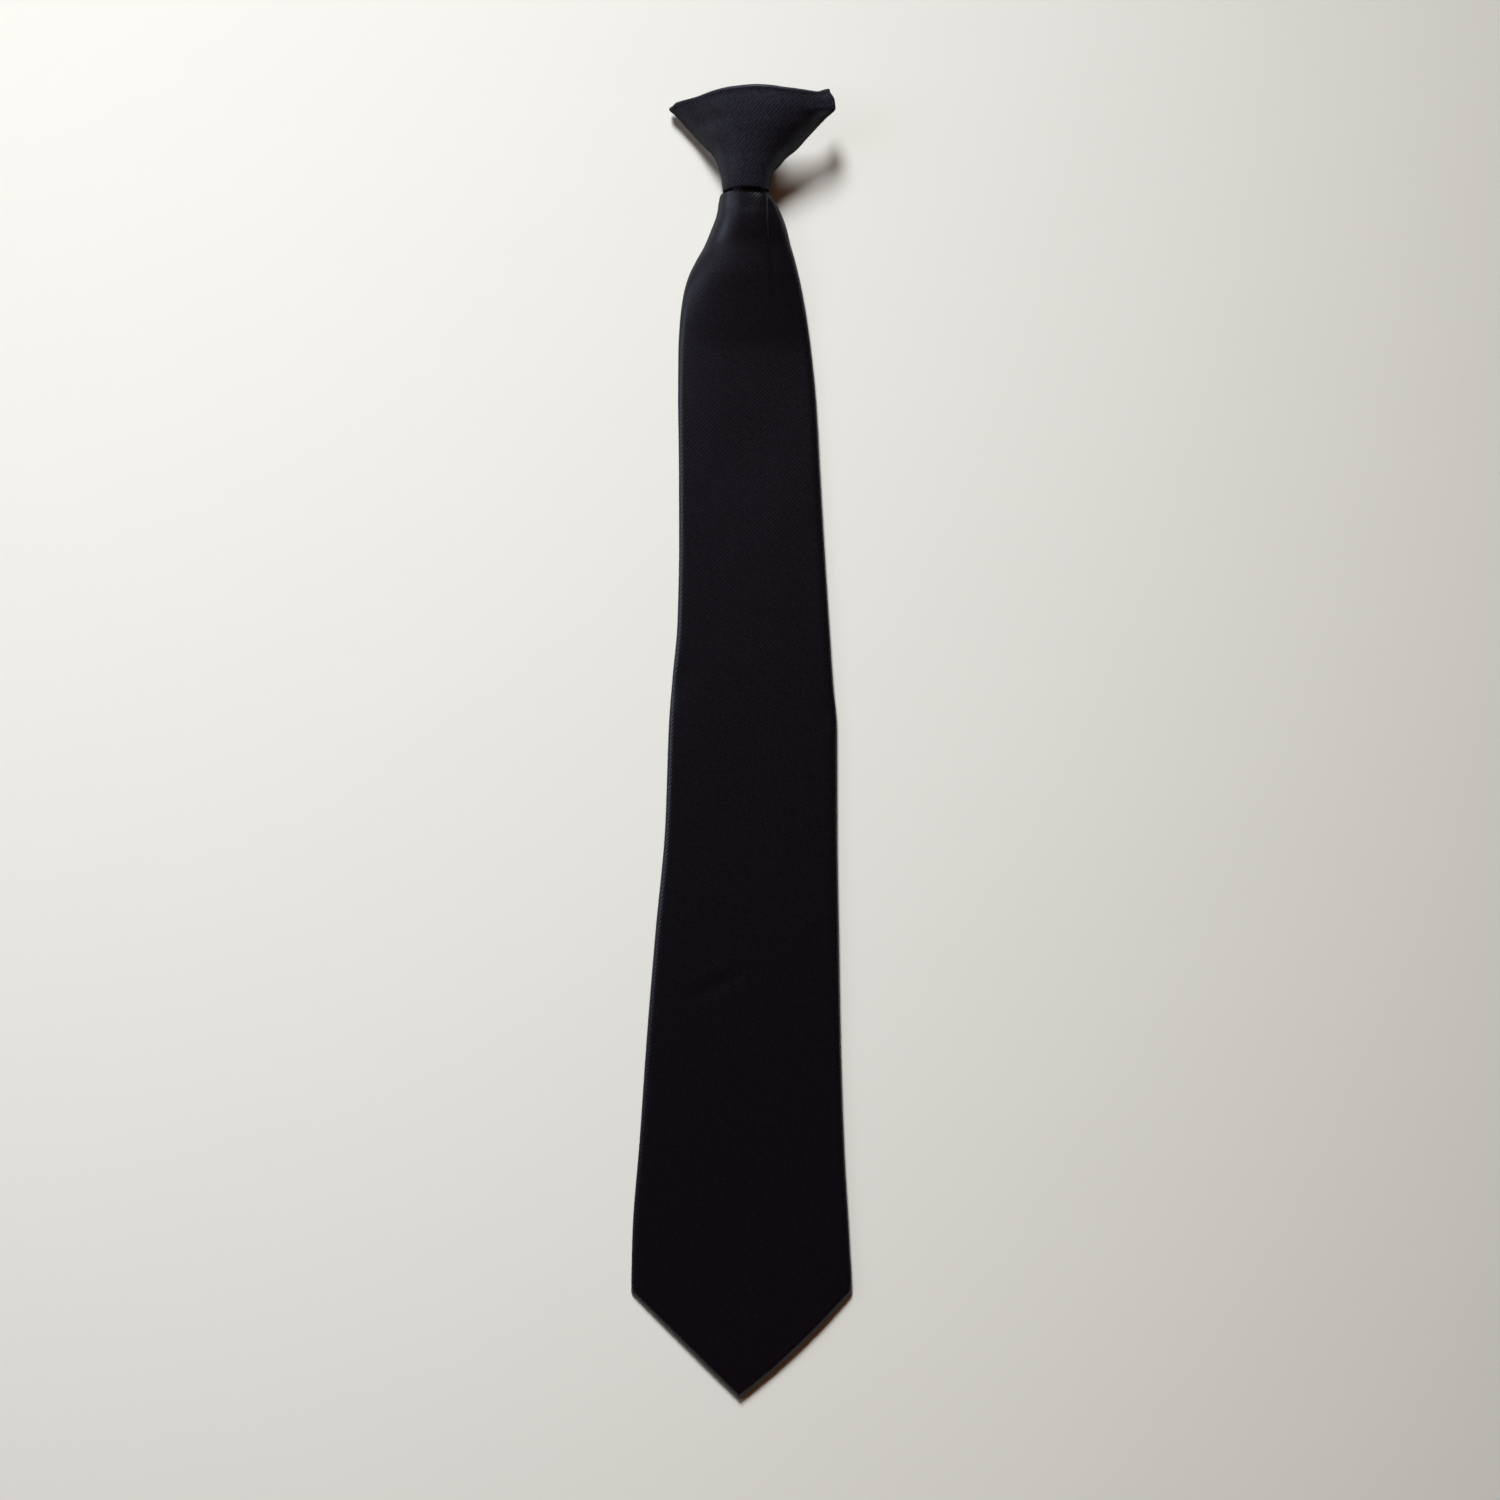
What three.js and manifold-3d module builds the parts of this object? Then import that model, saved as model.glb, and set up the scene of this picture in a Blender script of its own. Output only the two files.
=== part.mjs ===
import * as THREE from "three";
import { mergeVertices } from "three/addons/utils/BufferGeometryUtils.js";
import Module from "manifold-3d";

// A ready-tied black necktie that pins on at the collar, lying face up on a table.
// Three pieces: the blade, whose gathered neck goes up into the knot; the knot, a stiff
// flared funnel of cloth; and the collar clip inside the knot's open back.
// Millimetres, +Z up. X runs across the tie and +Y from the blade's point to the knot's rim.
// The origin is on the table, under the middle of the tie.

const LENGTH = 500; // from the blade's point to the knot's rim
const DEG = Math.PI / 180;

// The blade is one sleeve of cloth round an interlining, pressed flat.
const CORNER_Y = -209.2; // the two corners where the blade starts to taper to its point
const POINT_X = -1; // the point hangs a little left of the middle
const POINT_DEPTH = LENGTH / 2 + CORNER_Y; // from the corners down to the point
const POINT_BULGE = 2; // the point's right edge bows out by this halfway along
const POINT_BEND_Y = -130; // the rows of the mesh start to bend towards the point here
const POINT_STRAIGHT_Y = CORNER_Y + 5; // and are parallel to its two edges from here on
const FOLD_ROUND = 3; // how far in from a folded edge the cloth reaches its full thickness
const BLADE_EDGE = 0.9; // thickness left at the very edge of the blade

// On the blade's back two flaps of the sleeve meet in a seam, and part above the point.
const FLAP_THICK = 0.9;
const SEAM_HALF_GAP = 0.4;
const FLAP_SLOPE = 0.1; // a flap's edge leans in by this down to its foot
const SEAM_OPENS_Y = -112; // the flaps start to part here
const SEAM_OPEN_HALF_WIDTH = 31; // half of the opening's width at the corners
const POINT_HEM = 9; // width of the cloth folded up behind the point's two edges

// Beside the neck a pleat of the cloth lies tucked under, and its fold shows as a ridge.
const PLEAT_X = 10.1;
const PLEAT_ROLL = 0.8; // width of the rolled fold
const PLEAT_LIMIT = 0.62; // share of the half-width beyond which the ridge doesn't go

// The knot's own frame: rim at along = 0, and the roll tips its right wing up.
const KNOT_PLACE = new THREE.Vector3(1.7, LENGTH / 2, 6.9);
const KNOT_ROLL = -12 * DEG;
const KNOT_LENGTH = 36.5; // from the rim down to the fold round the neck
const KNOT_EDGE = 2; // thickness left at the wings' ends and at the rim
const KNOT_EDGE_SHARE = 0.6; // or this share of the thickness where the knot is thinner
const KNOT_ROUND = 1.8; // how far in from an edge the knot is rounded
const NECK_FOLD_SHARPNESS = 2; // at the fold round the neck, this many times closer
const NECK_FOLD_RISE = 0.5; // the fold round the neck arches up by this in the middle
const RIM_SHAPE_DEPTH = 12; // below this the rows of the knot no longer follow the rim's curve

// The clip is one bent strip of nylon: a plate against the knot, a bend and a springy tongue.
const CLIP_THICK = 1.4;
const CLIP_GAP = 3; // the collar band is held in here
const CLIP_WIDTH = 14;
const CLIP_CORNER = 4;
const PLATE_LENGTH = 19;
const TONGUE_LENGTH = 22;
const LIP_LENGTH = 4; // the end of the tongue flares so that the collar slides in
const LIP_FLARE = 1.2;
const CLIP_PLACE = new THREE.Vector3(3.3, -3.2, 10.4); // in the knot's frame
const CLIP_PITCH = 15.5 * DEG; // the slope of the knot's inner face

// Cross-sections of the blade. along is the place on Y; left and right are the outline on X.
// curl is how far round each half of the cloth bends backwards, in degrees, and bow how far
// its edges lie below its crown. foot is the height of its lowest point, and roll its twist.
// pleat is how far the tucked layer lies below the fold beside it.
const BLADE_SECTIONS = [
  { along: 220.5, left: -5.1, right: 8.7, curl: 150, bow: 5.5, foot: 4.2, thick: 2.4, roll: 12, pleat: 0 },
  { along: 213.2, left: -5.2, right: 8.6, curl: 150, bow: 5.5, foot: 3.3, thick: 2.4, roll: 12, pleat: 0 },
  { along: 212.7, left: -7.9, right: 10.3, curl: 148, bow: 7.6, foot: 1.5, thick: 2.6, roll: 12, pleat: 0 },
  { along: 211.4, left: -8.5, right: 11.6, curl: 144, bow: 8.8, foot: 0.5, thick: 2.8, roll: 12, pleat: 0.5 },
  { along: 206, left: -9.4, right: 15, curl: 120, bow: 8.4, foot: 0, thick: 3.2, roll: 9, pleat: 1.3 },
  { along: 200, left: -11.7, right: 17.4, curl: 98, bow: 7.2, foot: 0, thick: 3.5, roll: 6.5, pleat: 1.4 },
  { along: 193.5, left: -14.5, right: 19, curl: 78, bow: 6.1, foot: 0, thick: 3.8, roll: 5, pleat: 1.1 },
  { along: 188.5, left: -17.4, right: 20.5, curl: 64, bow: 5.4, foot: 0, thick: 3.9, roll: 4, pleat: 0.7 },
  { along: 182, left: -20.5, right: 22.1, curl: 52, bow: 4.7, foot: 0, thick: 4, roll: 3, pleat: 0.2 },
  { along: 175, left: -22.4, right: 23.6, curl: 42, bow: 3.9, foot: 0, thick: 4, roll: 2, pleat: 0 },
  { along: 165, left: -23.7, right: 25.3, curl: 31, bow: 2.8, foot: 0, thick: 4, roll: 1, pleat: 0 },
  { along: 153, left: -24.3, right: 26.9, curl: 22, bow: 1.6, foot: 0, thick: 4, roll: 0, pleat: 0 },
  { along: 134, left: -24.4, right: 28.7, curl: 15, bow: 0.6, foot: 0, thick: 4, roll: 0, pleat: 0 },
  { along: 112, left: -24.1, right: 29.9, curl: 12, bow: 0, foot: 0, thick: 4, roll: 0, pleat: 0 },
  { along: 80, left: -24, right: 31.7, curl: 12, bow: 0, foot: 0, thick: 4, roll: 0, pleat: 0 },
  { along: 50, left: -24.6, right: 33.6, curl: 12, bow: 0, foot: 0, thick: 4, roll: 0, pleat: 0 },
  { along: 26, left: -26.7, right: 35.2, curl: 12, bow: 0, foot: 0, thick: 4, roll: 0, pleat: 0 },
  { along: 10, left: -27.9, right: 36.6, curl: 12, bow: 0, foot: 0, thick: 4, roll: 0, pleat: 0 },
  { along: -30, left: -29.4, right: 36.7, curl: 12, bow: 0, foot: 0, thick: 4, roll: 0, pleat: 0 },
  { along: -70, left: -33.1, right: 37.3, curl: 12, bow: 0, foot: 0, thick: 4, roll: 0, pleat: 0 },
  { along: -110, left: -36.4, right: 38, curl: 12, bow: 0, foot: 0, thick: 4, roll: 0, pleat: 0 },
  { along: -150, left: -39.2, right: 39.3, curl: 12, bow: 0, foot: 0, thick: 4, roll: 0, pleat: 0 },
  { along: -187, left: -42, right: 41.4, curl: 12, bow: 0, foot: 0, thick: 4, roll: 0, pleat: 0 },
  { along: CORNER_Y, left: -42.4, right: 42.4, curl: 12, bow: 0, foot: 0, thick: 4, roll: 0, pleat: 0 },
];

// Cross-sections of the knot in its own frame, from the rim down to the neck. crown is the
// height of its front.
const KNOT_SECTIONS = [
  { along: 0, left: -29.5, right: 33, curl: 75, bow: 12.2, crown: 15.4, thick: 3.2 },
  { along: -1.2, left: -29.5, right: 33.2, curl: 75, bow: 12.2, crown: 15.1, thick: 3.2 },
  { along: -4, left: -27.6, right: 34.8, curl: 76, bow: 12.2, crown: 14.4, thick: 3.2 },
  { along: -7.5, left: -25.1, right: 35.2, curl: 77, bow: 12, crown: 13.6, thick: 3.2 },
  { along: -10.8, left: -23.1, right: 31.5, curl: 78, bow: 11.8, crown: 12.7, thick: 3.1 },
  { along: -14.3, left: -20.2, right: 27.4, curl: 80, bow: 11.6, crown: 11.8, thick: 3 },
  { along: -17.7, left: -17.1, right: 23.5, curl: 83, bow: 11.4, crown: 11, thick: 2.9 },
  { along: -21.4, left: -13.4, right: 19.5, curl: 89, bow: 11.2, crown: 10.1, thick: 2.7 },
  { along: -24.7, left: -11.6, right: 14.8, curl: 101, bow: 10.9, crown: 9.3, thick: 2.4 },
  { along: -27, left: -10.7, right: 12.9, curl: 115, bow: 10.9, crown: 8.7, thick: 2.1 },
  { along: -29.3, left: -9.8, right: 10.9, curl: 135, bow: 10.9, crown: 8.1, thick: 1.9 },
  { along: -31.6, left: -9.3, right: 10.4, curl: 150, bow: 10.9, crown: 7.5, thick: 1.7 },
  { along: -33.8, left: -9.1, right: 9.8, curl: 160, bow: 10.9, crown: 7, thick: 1.5 },
  { along: -KNOT_LENGTH, left: -9, right: 9.3, curl: 165, bow: 10.9, crown: 6.5, thick: 1.45 },
];

// The rim seen from the front: how far it lies below its highest point, across the knot.
const RIM = [
  { along: -1, drop: 3.8 },
  { along: -0.95, drop: 3.5 },
  { along: -0.9, drop: 2.6 },
  { along: -0.8, drop: 2.5 },
  { along: -0.6, drop: 2.35 },
  { along: -0.4, drop: 1.1 },
  { along: -0.2, drop: 0.4 },
  { along: 0.1, drop: 0 },
  { along: 0.3, drop: 0.4 },
  { along: 0.5, drop: 1.3 },
  { along: 0.85, drop: 2 },
  { along: 1, drop: 0 },
];

const lerp = THREE.MathUtils.lerp;
const clamp = THREE.MathUtils.clamp;

// One column of a table at a place between its rows, on a smooth curve that never overshoots.
function sample(table, column, place) {
  const rows = table[0].along < table.at(-1).along ? table : [...table].reverse();
  const at = clamp(place, rows[0].along, rows.at(-1).along);
  const slope = (i) => (rows[i + 1][column] - rows[i][column]) / (rows[i + 1].along - rows[i].along);
  const tangent = (i) => {
    if (i === 0 || i === rows.length - 1) return 0;
    const [before, after] = [slope(i - 1), slope(i)];
    return before * after > 0 ? (2 * before * after) / (before + after) : 0;
  };
  const next = Math.max(1, rows.findIndex((row) => row.along >= at));
  const [low, high] = [rows[next - 1], rows[next]];
  const span = high.along - low.along;
  const t = (at - low.along) / span;
  return (
    (2 * t ** 3 - 3 * t ** 2 + 1) * low[column] +
    (t ** 3 - 2 * t ** 2 + t) * span * tangent(next - 1) +
    (3 * t ** 2 - 2 * t ** 3) * high[column] +
    (t ** 3 - t ** 2) * span * tangent(next)
  );
}

// A strip of cloth in cross-section at one place along a table: an arc of an ellipse whose
// crown faces forwards. Angles on it run from -curl at the left edge to +curl at the right.
function crossSection(table, place) {
  const row = {};
  for (const column of Object.keys(table[0])) row[column] = sample(table, column, place);
  const curl = row.curl * DEG;
  const widest = Math.sin(Math.min(curl, Math.PI / 2));
  const across = ((row.right - row.left) / 2 - (row.thick / 2) * widest) / widest;
  const deep = row.bow / (1 - Math.cos(curl));
  return { roll: 0, ...row, curl, across, deep, centre: (row.left + row.right) / 2 };
}

// Millimetres of cloth for each radian of a section's arc.
function stretch(section, angle) {
  return Math.hypot(section.across * Math.cos(angle), section.deep * Math.sin(angle));
}

// The angle that lies a distance in from a section's right edge (side 1) or left edge (side -1).
function angleFromEdge(section, side, distance) {
  return side * (section.curl - distance / stretch(section, section.curl));
}

// The angle at which a section's front lies at a place on X.
function angleAt(section, x) {
  const reach = section.across + section.thick / 2;
  return Math.asin(clamp((x - section.centre) / reach, -1, 1));
}

// A point of the cloth: on the arc at an angle, then out along its normal.
function clothPoint(section, angle, out) {
  const normal = new THREE.Vector2(section.deep * Math.sin(angle), section.across * Math.cos(angle)).normalize();
  const x = section.across * Math.sin(angle) + out * normal.x;
  const z = section.deep * (Math.cos(angle) - 1) + out * normal.y;
  return new THREE.Vector2(x, z).rotateAround(new THREE.Vector2(0, -section.bow / 2), section.roll * DEG);
}

// The thickness at a distance from the nearest folded edge, rounded off like a fold.
function thicknessAt(thick, edge, round, distance) {
  const inwards = clamp(distance / round, 0, 1);
  return edge + (thick - edge) * Math.sqrt(1 - (1 - inwards) ** 2);
}

// Puts a section's points in space: fitted between its left and right outline, at their
// places on Y, and standing on its foot or hanging from its crown.
function settle(section, front, back, yOf) {
  const all = [...front, ...back];
  const low = new THREE.Vector2(Math.min(...all.map((p) => p.x)), Math.min(...all.map((p) => p.y)));
  const fit = (section.right - section.left) / (Math.max(...all.map((p) => p.x)) - low.x);
  const rise = section.crown === undefined ? section.foot - low.y : section.crown - section.thick / 2;
  const place = (p) => {
    const x = section.left + (p.x - low.x) * fit;
    return new THREE.Vector3(x, yOf(x), p.y + rise);
  };
  return { front: front.map(place), back: back.map(place) };
}

// A closed solid between a grid of front points and a grid of back points.
function thickSheet(rows) {
  const columns = rows[0].front.length;
  const points = rows.flatMap((row) => [...row.front, ...row.back]);
  const front = (i, j) => i * 2 * columns + j;
  const back = (i, j) => front(i, j) + columns;
  const index = [];
  const quad = (a, b, c, d) => index.push(a, b, c, a, c, d);
  for (let i = 0; i < rows.length - 1; i++) {
    for (let j = 0; j < columns - 1; j++) {
      quad(front(i, j), front(i + 1, j), front(i + 1, j + 1), front(i, j + 1));
      quad(back(i, j), back(i, j + 1), back(i + 1, j + 1), back(i + 1, j));
    }
    const last = columns - 1;
    quad(front(i, 0), back(i, 0), back(i + 1, 0), front(i + 1, 0));
    quad(front(i, last), front(i + 1, last), back(i + 1, last), back(i, last));
  }
  const end = rows.length - 1;
  for (let j = 0; j < columns - 1; j++) {
    quad(front(0, j), front(0, j + 1), back(0, j + 1), back(0, j));
    quad(front(end, j), back(end, j), back(end, j + 1), front(end, j + 1));
  }
  const geometry = new THREE.BufferGeometry().setFromPoints(points);
  geometry.setIndex(index);
  geometry.computeVertexNormals();
  return geometry;
}

// Places from one end of a span to the other, no further apart than a step.
function steps(from, to, step) {
  const count = Math.ceil(Math.abs(to - from) / step);
  return Array.from({ length: count }, (_, i) => lerp(from, to, i / count));
}

// Distances in from a folded edge at which the blade has a column or row, so that it is round.
const FOLD_COLUMNS = [0, 0.4, 1.3, FOLD_ROUND];

// Rows of the blade: the spans of its length and how far apart the rows are in each.
const BLADE_ROWS = [
  { from: 220.5, to: 213.2, step: 8 },
  { from: 213.2, to: 211.4, step: 0.5 },
  { from: 211.4, to: 175, step: 2.3 },
  { from: 175, to: 134, step: 6 },
  { from: 134, to: POINT_BEND_Y, step: 20 },
  { from: POINT_BEND_Y, to: POINT_STRAIGHT_Y, step: 11 },
];

// Columns between the folds, the seam and the pleat, as shares of the way from one to the next.
const LEFT_FRONT = [0.88, 0.75, 0.6, 0.45, 0.3, 0.15];
const RIGHT_FRONT = [0.25, 0.5, 0.75];
const FLAP_COLUMNS = [0.2, 0.4, 0.6, 0.8];

// The blade: the gathered neck curls round into the knot, opens out below it as an arch that
// flattens on to the table, and widens to the two corners and the point.
function bladeGeometry() {
  const stations = [
    ...BLADE_ROWS.flatMap((span) => steps(span.from, span.to, span.step)),
    POINT_STRAIGHT_Y,
    ...FOLD_COLUMNS.toReversed().map((distance) => CORNER_Y + distance),
  ];
  const pointSlope = Math.cos(Math.atan2(POINT_DEPTH, sample(BLADE_SECTIONS, "right", CORNER_Y)));
  const rows = stations.map((station) => {
    const section = crossSection(BLADE_SECTIONS, station);
    const fromPoint = (station - CORNER_Y) * pointSlope;
    const bend = clamp((POINT_BEND_Y - station) / (POINT_BEND_Y - POINT_STRAIGHT_Y), 0, 1);
    const yOf = (x) => {
      const side = x < POINT_X ? section.left : section.right;
      const aside = Math.abs((x - POINT_X) / (side - POINT_X));
      const bulge = x < POINT_X ? 0 : 4 * POINT_BULGE * aside * (1 - aside);
      return station - bend * (POINT_DEPTH * (1 - aside) + bulge);
    };
    const thick = (angle) => {
      const fromSide = (section.curl - Math.abs(angle)) * stretch(section, section.curl);
      return thicknessAt(section.thick, BLADE_EDGE, FOLD_ROUND, Math.min(fromSide, fromPoint));
    };
    const inner = section.curl - FOLD_ROUND / stretch(section, section.curl);
    const leftFold = FOLD_COLUMNS.map((d) => angleFromEdge(section, -1, d));
    const rightFold = FOLD_COLUMNS.map((d) => angleFromEdge(section, 1, d)).reverse();

    const middle = bend * angleAt(section, POINT_X);
    const ridge = Math.min(angleAt(section, PLEAT_X), PLEAT_LIMIT * inner);
    const tucked = ridge + PLEAT_ROLL / stretch(section, ridge);
    const frontAngles = [
      ...leftFold,
      ...LEFT_FRONT.map((share) => -share * inner),
      middle,
      (middle + ridge) / 2,
      ridge,
      tucked,
      ...RIGHT_FRONT.map((share) => lerp(tucked, inner, share)),
      ...rightFold,
    ];
    const front = frontAngles.map((angle) => {
      const tuck = angle < tucked ? 0 : (inner - Math.min(angle, inner)) / (inner - tucked);
      return clothPoint(section, angle, thick(angle) / 2 - section.pleat * tuck);
    });

    const opening = clamp((SEAM_OPENS_Y - station) / (SEAM_OPENS_Y - CORNER_Y), 0, 1);
    const flapEdge = lerp(SEAM_HALF_GAP, SEAM_OPEN_HALF_WIDTH, opening) / stretch(section, 0);
    const flapFoot = flapEdge - FLAP_SLOPE / stretch(section, 0);
    const recess = fromPoint < POINT_HEM ? 0 : FLAP_THICK;
    const flap = (angle) => clothPoint(section, angle, -thick(angle) / 2);
    const inside = (angle) => clothPoint(section, angle, recess - thick(angle) / 2);
    const back = [
      ...leftFold.map(flap),
      ...FLAP_COLUMNS.map((share) => flap(lerp(-inner, middle - flapEdge, share))),
      flap(middle - flapEdge),
      inside(middle - flapFoot),
      inside(middle),
      inside(middle + flapFoot),
      flap(middle + flapEdge),
      ...FLAP_COLUMNS.map((share) => flap(lerp(middle + flapEdge, inner, share))),
      ...rightFold.map(flap),
    ];
    return settle(section, front, back, yOf);
  });
  return thickSheet(rows);
}

// Places across the knot, as shares of its half-width from -1 to 1, at which it has a column.
const KNOT_COLUMN_STEP = 1 / 8;
const KNOT_COLUMNS = steps(KNOT_COLUMN_STEP - 1, 1, KNOT_COLUMN_STEP);

// Distances in from the knot's edges at which it has a column or row, so that they are round.
const EDGE_COLUMNS = [0, 0.7, KNOT_ROUND];

// Rows of the knot between its round edges.
const KNOT_ROWS = [
  { from: -4.5, to: -7.5, step: 3 },
  { from: -7.5, to: -33.8, step: 1.9 },
];

// The knot: a stiff funnel that closes round the neck and opens upwards into two wings.
function knotGeometry() {
  const stations = [
    ...EDGE_COLUMNS.map((distance) => -distance),
    ...KNOT_ROWS.flatMap((span) => steps(span.from, span.to, span.step)),
    KNOT_ROWS.at(-1).to,
    -KNOT_LENGTH + EDGE_COLUMNS[1],
    -KNOT_LENGTH,
  ];
  const rows = stations.map((station) => {
    const section = crossSection(KNOT_SECTIONS, station);
    const fromRim = -station;
    const fromNeck = station + KNOT_LENGTH;
    const edge = Math.min(KNOT_EDGE, KNOT_EDGE_SHARE * section.thick);
    const thick = (angle) => {
      const fromSide = (section.curl - Math.abs(angle)) * stretch(section, section.curl);
      const nearest = Math.min(fromSide, fromRim, fromNeck * NECK_FOLD_SHARPNESS);
      return thicknessAt(section.thick, edge, KNOT_ROUND, nearest);
    };
    const inner = section.curl - KNOT_ROUND / stretch(section, section.curl);
    const angles = [
      ...EDGE_COLUMNS.map((d) => angleFromEdge(section, -1, d)),
      ...KNOT_COLUMNS.map((share) => share * inner),
      ...EDGE_COLUMNS.map((d) => angleFromEdge(section, 1, d)).reverse(),
    ];
    const rimShare = clamp(1 - fromRim / RIM_SHAPE_DEPTH, 0, 1);
    const neckShare = clamp(1 - fromNeck / KNOT_ROUND, 0, 1);
    const halfWidth = (section.right - section.left) / 2;
    const yOf = (x) => {
      const sideways = (x - section.centre) / halfWidth;
      return station - rimShare * sample(RIM, "drop", sideways) + neckShare * NECK_FOLD_RISE * (1 - sideways ** 2);
    };
    const front = angles.map((angle) => clothPoint(section, angle, thick(angle) / 2));
    const back = angles.map((angle) => clothPoint(section, angle, -thick(angle) / 2));
    return settle(section, front, back, yOf);
  });
  return thickSheet(rows);
}

const manifold = await Module();
manifold.setup();

// A three.js geometry as a solid that can be cut.
function toSolid(geometry) {
  const bare = geometry.clone();
  bare.deleteAttribute("normal");
  bare.deleteAttribute("uv");
  const merged = mergeVertices(bare, 1e-4);
  return new manifold.Manifold(
    new manifold.Mesh({
      numProp: 3,
      vertProperties: new Float32Array(merged.attributes.position.array),
      triVerts: new Uint32Array(merged.index.array),
    }),
  );
}

// A cut solid as a three.js geometry again.
function toGeometry(solid) {
  const mesh = solid.getMesh();
  const geometry = new THREE.BufferGeometry();
  geometry.setAttribute("position", new THREE.BufferAttribute(mesh.vertProperties, 3));
  geometry.setIndex(new THREE.BufferAttribute(mesh.triVerts, 1));
  geometry.computeVertexNormals();
  return geometry;
}

// The clip seen from its side: plate, half-round bend and tongue with a flared lip.
function clipSide() {
  const outer = CLIP_THICK + CLIP_GAP / 2; // radius of the bend's outside
  const inner = CLIP_GAP / 2;
  const tongueBack = -2 * outer;
  const tongueFront = tongueBack + CLIP_THICK;
  const side = new THREE.Shape();
  side.moveTo(-PLATE_LENGTH, 0);
  side.lineTo(-outer, 0);
  side.absarc(-outer, -outer, outer, Math.PI / 2, -Math.PI / 2, true);
  side.lineTo(-TONGUE_LENGTH + LIP_LENGTH, tongueBack);
  side.lineTo(-TONGUE_LENGTH, tongueBack - LIP_FLARE);
  side.lineTo(-TONGUE_LENGTH, tongueFront - LIP_FLARE);
  side.lineTo(-TONGUE_LENGTH + LIP_LENGTH, tongueFront);
  side.lineTo(-outer, tongueFront);
  side.absarc(-outer, -outer, inner, -Math.PI / 2, Math.PI / 2, false);
  side.lineTo(-PLATE_LENGTH, -CLIP_THICK);
  side.closePath();
  return side;
}

// The clip seen from the front: a rectangle whose lower corners are round.
function clipFront() {
  const half = CLIP_WIDTH / 2;
  const low = -TONGUE_LENGTH;
  const top = 1; // just past the bend
  const front = new THREE.Shape();
  front.moveTo(-half, top);
  front.lineTo(-half, low + CLIP_CORNER);
  front.absarc(-half + CLIP_CORNER, low + CLIP_CORNER, CLIP_CORNER, Math.PI, 1.5 * Math.PI, false);
  front.lineTo(half - CLIP_CORNER, low);
  front.absarc(half - CLIP_CORNER, low + CLIP_CORNER, CLIP_CORNER, 1.5 * Math.PI, 2 * Math.PI, false);
  front.lineTo(half, top);
  front.closePath();
  return front;
}

// The bent strip, cut to its front outline. Local Y runs up the clip and Z towards the knot.
function clipGeometry() {
  const side = new THREE.ExtrudeGeometry(clipSide(), { depth: CLIP_WIDTH, bevelEnabled: false, curveSegments: 10 });
  side.translate(0, 0, -CLIP_WIDTH / 2);
  const [x, y, z] = [new THREE.Vector3(1, 0, 0), new THREE.Vector3(0, 1, 0), new THREE.Vector3(0, 0, 1)];
  side.applyMatrix4(new THREE.Matrix4().makeBasis(y, z, x));
  const reach = 20; // deeper than the clip, on both sides of it
  const front = new THREE.ExtrudeGeometry(clipFront(), { depth: 2 * reach, bevelEnabled: false, curveSegments: 5 });
  front.translate(0, 0, -reach);
  return toGeometry(toSolid(side).intersect(toSolid(front)));
}

const cloth = new THREE.MeshStandardMaterial({ color: 0x17171b, roughness: 0.75, metalness: 0 });
const nylon = new THREE.MeshStandardMaterial({ color: 0x141414, roughness: 0.45, metalness: 0 });

function named(name, geometry, material) {
  const mesh = new THREE.Mesh(geometry, material);
  mesh.name = name;
  return mesh;
}

const blade = named("blade", bladeGeometry(), cloth);
const knot = named("knot", knotGeometry(), cloth);
const clip = named("collar_clip", clipGeometry(), nylon);
clip.position.copy(CLIP_PLACE);
clip.rotation.x = CLIP_PITCH;

const knotGroup = new THREE.Group();
knotGroup.position.copy(KNOT_PLACE);
knotGroup.rotation.y = KNOT_ROLL;
knotGroup.add(knot, clip);

const tie = new THREE.Group();
tie.add(blade, knotGroup);

export default tie;
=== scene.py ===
import math

import bmesh
import bpy
from mathutils import Matrix, Vector, noise


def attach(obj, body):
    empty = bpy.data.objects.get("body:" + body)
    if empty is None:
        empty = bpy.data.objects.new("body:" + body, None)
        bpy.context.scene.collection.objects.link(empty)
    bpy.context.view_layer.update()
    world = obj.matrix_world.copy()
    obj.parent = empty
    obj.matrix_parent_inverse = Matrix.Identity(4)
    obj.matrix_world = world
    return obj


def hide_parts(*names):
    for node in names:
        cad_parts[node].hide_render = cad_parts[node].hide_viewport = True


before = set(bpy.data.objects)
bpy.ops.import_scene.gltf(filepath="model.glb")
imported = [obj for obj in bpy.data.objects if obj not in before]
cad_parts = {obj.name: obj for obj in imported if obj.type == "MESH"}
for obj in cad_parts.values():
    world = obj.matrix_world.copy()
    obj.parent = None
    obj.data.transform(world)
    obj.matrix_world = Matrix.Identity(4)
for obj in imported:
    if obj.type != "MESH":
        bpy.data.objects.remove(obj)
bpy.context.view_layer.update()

# The camera hangs over the middle of the paper and looks straight down, as the photo was
# taken. Its frame is 1500 pixels square and shows 578.5 mm of the paper.
PHOTO_SIDE_MM = 578.5
CAMERA_PLACE = (0.0033, 0.0001, 0.8)
SENSOR_MM = 36.0

camera = bpy.data.objects.new("camera", bpy.data.cameras.new("camera"))
camera.data.sensor_width = SENSOR_MM
camera.data.lens = SENSOR_MM * CAMERA_PLACE[2] * 1000 / PHOTO_SIDE_MM
camera.location = CAMERA_PLACE
bpy.context.collection.objects.link(camera)
bpy.context.scene.camera = camera

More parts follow.
